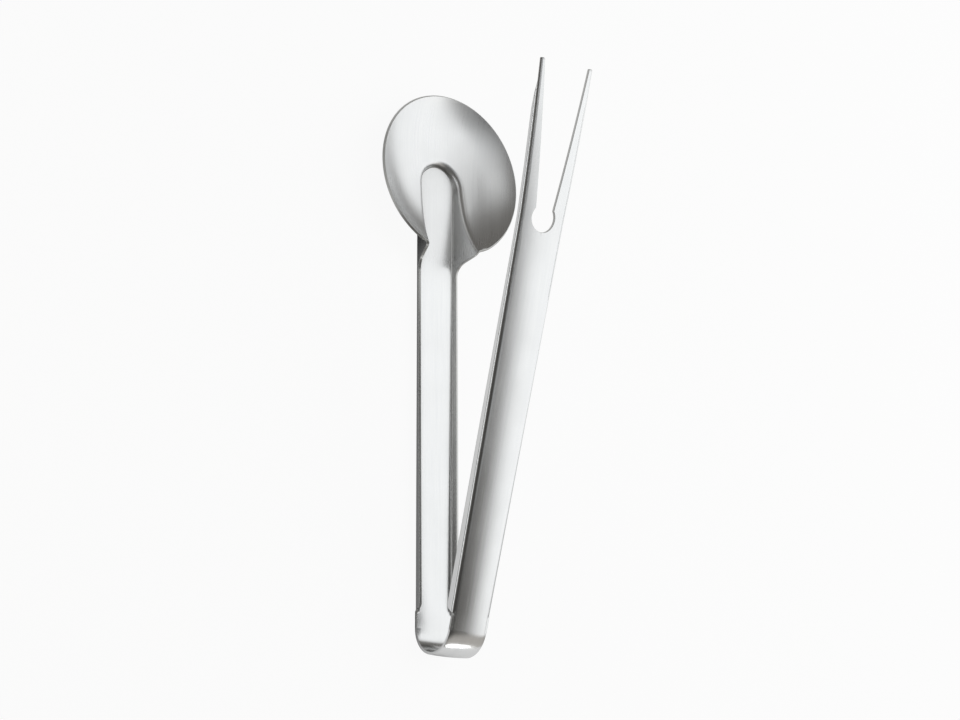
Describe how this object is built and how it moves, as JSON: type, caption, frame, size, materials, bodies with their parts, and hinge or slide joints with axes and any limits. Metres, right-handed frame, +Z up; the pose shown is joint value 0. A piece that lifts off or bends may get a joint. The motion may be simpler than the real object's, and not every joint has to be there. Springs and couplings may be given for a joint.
{
  "type": "roasting tongs",
  "caption": "Folded stainless steel roasting tongs with a round spoon on one arm, a slotted fork on the other and a springy round bow.",
  "frame": {"origin": "on the flat back of the spoon arm, on its centre line, where its flanges begin beside the bow", "axes": "+Z is up off the spoon arm's flat back, +Y runs along that arm from the bow towards the spoon, X is across the width"},
  "size_m": [0.088, 0.2976, 0.1107],
  "materials": {
    "stainless_spoon_arm": "fine brushed",
    "stainless_bow": "fine brushed, bent",
    "stainless_fork_arm": "fine brushed along its length"
  },
  "bodies": {
    "spoon_side": {"spoon_arm": "stainless_spoon_arm", "spring_bow": "stainless_bow"},
    "fork_side": {"fork_arm": "stainless_fork_arm"}
  },
  "joints": [
    {"name": "bow_squeeze", "type": "hinge", "parent": "spoon_side", "child": "fork_side", "pos_m": [0, -0.01913, 0.01401], "axis": [-1, 0, 0], "range_deg": [0, 18.5], "stiffness_Nm_per_rad": 3.8, "springref_deg": -2.86, "deforming": ["spring_bow"]}
  ]
}
